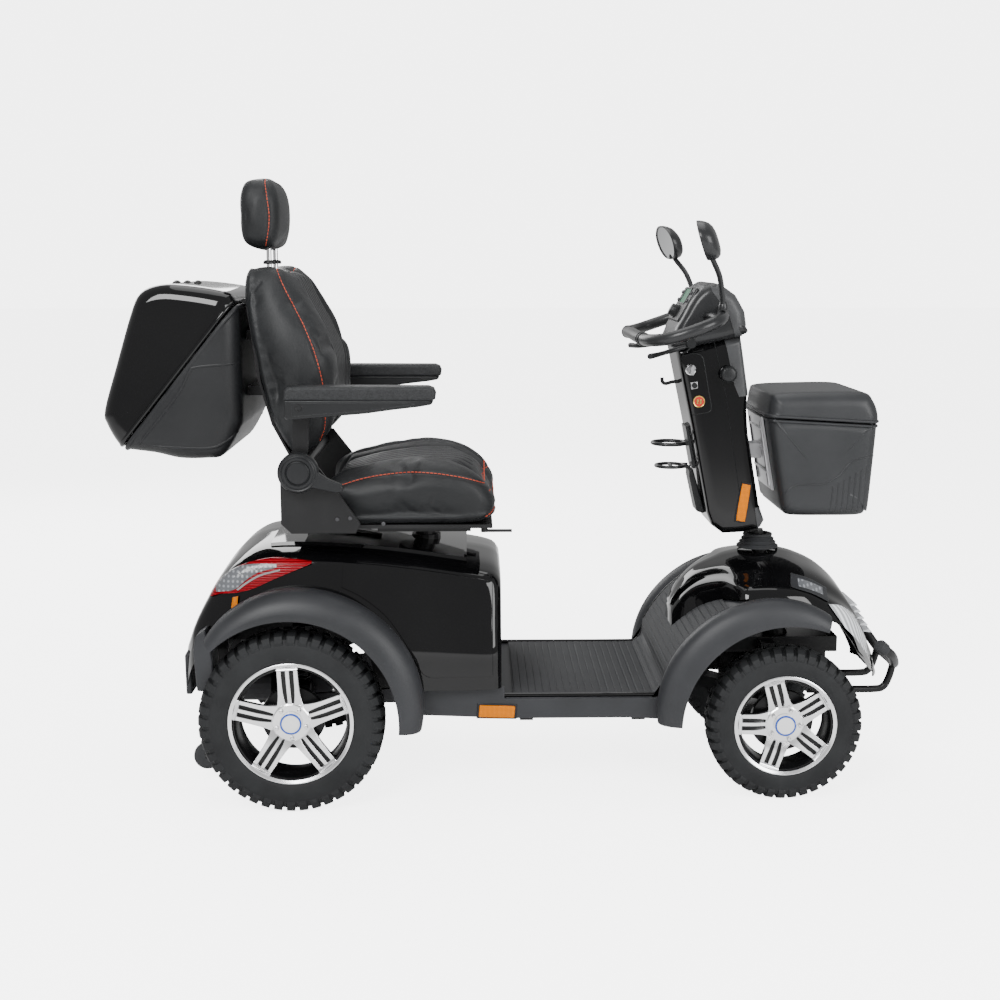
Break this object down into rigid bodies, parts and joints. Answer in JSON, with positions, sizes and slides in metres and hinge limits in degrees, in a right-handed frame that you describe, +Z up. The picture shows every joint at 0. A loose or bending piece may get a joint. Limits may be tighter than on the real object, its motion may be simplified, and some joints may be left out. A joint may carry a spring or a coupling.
{
  "type": "mobility scooter",
  "caption": "Mobility scooter with a tilting tiller, loop handlebar, swivelling padded seat, storage boxes front and rear, moulded covers, fenders and sprung axles.",
  "frame": {"origin": "on the ground under the middle of the scooter's bounding box", "axes": "+X forward, +Y to the rider's left, +Z up"},
  "size_m": [1.8219, 0.724, 1.383],
  "materials": {
    "frame_steel": "satin black",
    "drive_metal": "satin",
    "gloss_black": "high gloss",
    "grey_plastic": "fine grain",
    "black_plastic": "satin",
    "mat_rubber": "matt",
    "tyre_rubber": "matt",
    "leatherette": "satin grain",
    "alloy": "machined",
    "chrome_metal": "polished",
    "red_lens": "clear red",
    "clear_lens": "clear"
  },
  "bodies": {
    "chassis": {"main_frame": "frame_steel", "rear_shroud": "gloss_black", "battery_door_right": "gloss_black", "battery_door_left": "gloss_black", "rear_fender_right": "grey_plastic", "rear_fender_left": "grey_plastic", "front_shroud": "gloss_black", "front_fender_right": "grey_plastic", "front_fender_left": "grey_plastic", "floor_pan": "grey_plastic", "floor_mat": "mat_rubber", "tail_light_right": "red_lens", "tail_light_left": "red_lens", "headlight": "clear_lens", "front_bumper": "frame_steel", "battery_pack": "black_plastic", "seat_post": "frame_steel", "tiller_boot": "mat_rubber"},
    "rear_suspension": {"rear_transaxle": "drive_metal", "drive_motor": "drive_metal"},
    "front_suspension": {"front_axle_beam": "frame_steel"},
    "rear_wheel_right": {"rear_tyre_right": "tyre_rubber", "rear_rim_right": "alloy"},
    "rear_wheel_left": {"rear_tyre_left": "tyre_rubber", "rear_rim_left": "alloy"},
    "knuckle_right": {"steering_knuckle_right": "frame_steel"},
    "knuckle_left": {"steering_knuckle_left": "frame_steel"},
    "front_wheel_right": {"front_tyre_right": "tyre_rubber", "front_rim_right": "alloy"},
    "front_wheel_left": {"front_tyre_left": "tyre_rubber", "front_rim_left": "alloy"},
    "track_rod": {"tie_rod": "frame_steel"},
    "steering": {"steering_stem": "frame_steel"},
    "tiller": {"tiller_column": "frame_steel", "tiller_shroud": "gloss_black", "console": "grey_plastic", "handlebar": "black_plastic", "front_box": "grey_plastic", "cup_holder": "black_plastic"},
    "front_box_cover": {"front_box_lid": "grey_plastic"},
    "throttle": {"throttle_lever": "black_plastic"},
    "brake": {"brake_lever": "black_plastic"},
    "mirror_unit_right": {"mirror_right": "black_plastic"},
    "mirror_unit_left": {"mirror_left": "black_plastic"},
    "key": {"ignition_key": "chrome_metal"},
    "tilt_lock": {"tilt_lock_knob": "chrome_metal"},
    "swivel": {"swivel_plate": "frame_steel"},
    "seat": {"seat_frame": "frame_steel", "seat_cushion": "leatherette"},
    "slide_latch": {"seat_slide_lever": "frame_steel"},
    "backrest": {"backrest_frame": "frame_steel", "back_cushion": "leatherette", "rear_box": "grey_plastic"},
    "head_support": {"headrest": "leatherette"},
    "arm_right": {"armrest_right": "grey_plastic"},
    "arm_left": {"armrest_left": "grey_plastic"},
    "recline_latch": {"recline_lever": "grey_plastic"},
    "rear_box_cover": {"rear_box_lid": "gloss_black"},
    "anti_tip_roller_right": {"anti_tip_wheel_right": "mat_rubber"},
    "anti_tip_roller_left": {"anti_tip_wheel_left": "mat_rubber"}
  },
  "joints": [
    {"name": "rear_swing", "type": "hinge", "parent": "chassis", "child": "rear_suspension", "pos_m": [-0.2, 0, 0.225], "axis": [0, 1, 0], "range_deg": [0, 4], "stiffness_Nm_per_rad": 3200, "springref_deg": -7.73},
    {"name": "front_swing", "type": "hinge", "parent": "chassis", "child": "front_suspension", "pos_m": [0.42, 0, 0.215], "axis": [0, -1, 0], "range_deg": [0, 6], "stiffness_Nm_per_rad": 1200, "springref_deg": -7.16},
    {"name": "rear_wheel_spin_right", "type": "hinge", "parent": "rear_suspension", "child": "rear_wheel_right", "pos_m": [-0.505, -0.285, 0.205], "axis": [0, 1, 0], "continuous": true},
    {"name": "knuckle_turn_right", "type": "hinge", "parent": "front_suspension", "child": "knuckle_right", "pos_m": [0.594, -0.155, 0.175], "axis": [0, 0, 1], "range_deg": [-36, 36]},
    {"name": "front_wheel_spin_right", "type": "hinge", "parent": "knuckle_right", "child": "front_wheel_right", "pos_m": [0.594, -0.232, 0.175], "axis": [0, 1, 0], "continuous": true},
    {"name": "anti_tip_spin_right", "type": "hinge", "parent": "chassis", "child": "anti_tip_roller_right", "pos_m": [-0.725, -0.125, 0.066], "axis": [0, 1, 0], "continuous": true},
    {"name": "mirror_swivel_right", "type": "hinge", "parent": "tiller", "child": "mirror_unit_right", "pos_m": [0.441, -0.2, 1.0965], "axis": [0, 0, 1], "range_deg": [-30, 30]},
    {"name": "armrest_lift_right", "type": "hinge", "parent": "backrest", "child": "arm_right", "pos_m": [-0.47, -0.2815, 0.902], "axis": [0, -1, 0], "range_deg": [0, 90]},
    {"name": "rear_wheel_spin_left", "type": "hinge", "parent": "rear_suspension", "child": "rear_wheel_left", "pos_m": [-0.505, 0.285, 0.205], "axis": [0, 1, 0], "continuous": true},
    {"name": "knuckle_turn_left", "type": "hinge", "parent": "front_suspension", "child": "knuckle_left", "pos_m": [0.594, 0.155, 0.175], "axis": [0, 0, 1], "range_deg": [-36, 36]},
    {"name": "front_wheel_spin_left", "type": "hinge", "parent": "knuckle_left", "child": "front_wheel_left", "pos_m": [0.594, 0.232, 0.175], "axis": [0, 1, 0], "continuous": true},
    {"name": "anti_tip_spin_left", "type": "hinge", "parent": "chassis", "child": "anti_tip_roller_left", "pos_m": [-0.725, 0.125, 0.066], "axis": [0, 1, 0], "continuous": true},
    {"name": "mirror_swivel_left", "type": "hinge", "parent": "tiller", "child": "mirror_unit_left", "pos_m": [0.441, 0.2, 1.0965], "axis": [0, 0, 1], "range_deg": [-30, 30]},
    {"name": "armrest_lift_left", "type": "hinge", "parent": "backrest", "child": "arm_left", "pos_m": [-0.47, 0.2815, 0.902], "axis": [0, -1, 0], "range_deg": [0, 90]},
    {"name": "track_rod_travel", "type": "slide", "parent": "front_suspension", "child": "track_rod", "axis": [0, 1, 0], "range_m": [-0.055, 0.055]},
    {"name": "steering_turn", "type": "hinge", "parent": "chassis", "child": "steering", "pos_m": [0.575, 0, 0.53], "axis": [-0.2079, 0, 0.9781], "range_deg": [-35, 35]},
    {"name": "tiller_tilt", "type": "hinge", "parent": "steering", "child": "tiller", "pos_m": [0.53, 0, 0.625], "axis": [0, 1, 0], "range_deg": [-6, 12]},
    {"name": "front_lid_hinge", "type": "hinge", "parent": "tiller", "child": "front_box_cover", "pos_m": [0.8115, 0, 0.8405], "axis": [0, 1, 0], "range_deg": [0, 75]},
    {"name": "throttle_pull", "type": "hinge", "parent": "tiller", "child": "throttle", "pos_m": [0.385, -0.118, 1.02], "axis": [0, 1, 0], "range_deg": [0, 7], "stiffness_Nm_per_rad": 0.6, "springref_deg": -11.46},
    {"name": "brake_pull", "type": "hinge", "parent": "tiller", "child": "brake", "pos_m": [0.385, 0.118, 1.02], "axis": [0, 1, 0], "range_deg": [0, 7], "stiffness_Nm_per_rad": 0.6, "springref_deg": -11.46},
    {"name": "key_turn", "type": "hinge", "parent": "tiller", "child": "key", "pos_m": [0.39, -0.0886, 0.959], "axis": [0, -1, 0], "range_deg": [0, 70]},
    {"name": "tilt_lock_turn", "type": "hinge", "parent": "tiller", "child": "tilt_lock", "pos_m": [0.474, -0.0886, 0.95], "axis": [0, -1, 0], "range_deg": [0, 90]},
    {"name": "seat_swivel", "type": "hinge", "parent": "chassis", "child": "swivel", "pos_m": [-0.215, 0, 0.6006], "axis": [0, 0, 1], "range_deg": [-90, 90]},
    {"name": "seat_slide", "type": "slide", "parent": "swivel", "child": "seat", "axis": [1, 0, 0], "range_m": [-0.06, 0.05]},
    {"name": "slide_latch_turn", "type": "hinge", "parent": "seat", "child": "slide_latch", "pos_m": [-0.08, -0.18, 0.608], "axis": [0, 0, 1], "range_deg": [0, 12], "stiffness_Nm_per_rad": 0.5, "springref_deg": -11.46},
    {"name": "backrest_recline", "type": "hinge", "parent": "seat", "child": "backrest", "pos_m": [-0.479, 0, 0.757], "axis": [0, 1, 0], "range_deg": [-15, 45]},
    {"name": "recline_latch_pull", "type": "hinge", "parent": "seat", "child": "recline_latch", "pos_m": [-0.479, -0.2835, 0.757], "axis": [0, -1, 0], "range_deg": [0, 20], "stiffness_Nm_per_rad": 2, "springref_deg": -22.92},
    {"name": "headrest_height", "type": "slide", "parent": "backrest", "child": "head_support", "axis": [0, 0, 1], "range_m": [0, 0.06]},
    {"name": "rear_lid_hinge", "type": "hinge", "parent": "backrest", "child": "rear_box_cover", "pos_m": [-0.6125, 0, 1.1165], "axis": [0, 1, 0], "range_deg": [0, 60]}
  ],
  "couplings": [
    {"joint": "knuckle_turn_right", "follows": "steering_turn", "ratio": 1},
    {"joint": "knuckle_turn_left", "follows": "steering_turn", "ratio": 1},
    {"joint": "track_rod_travel", "follows": "steering_turn", "m_per_rad": -0.08}
  ]
}
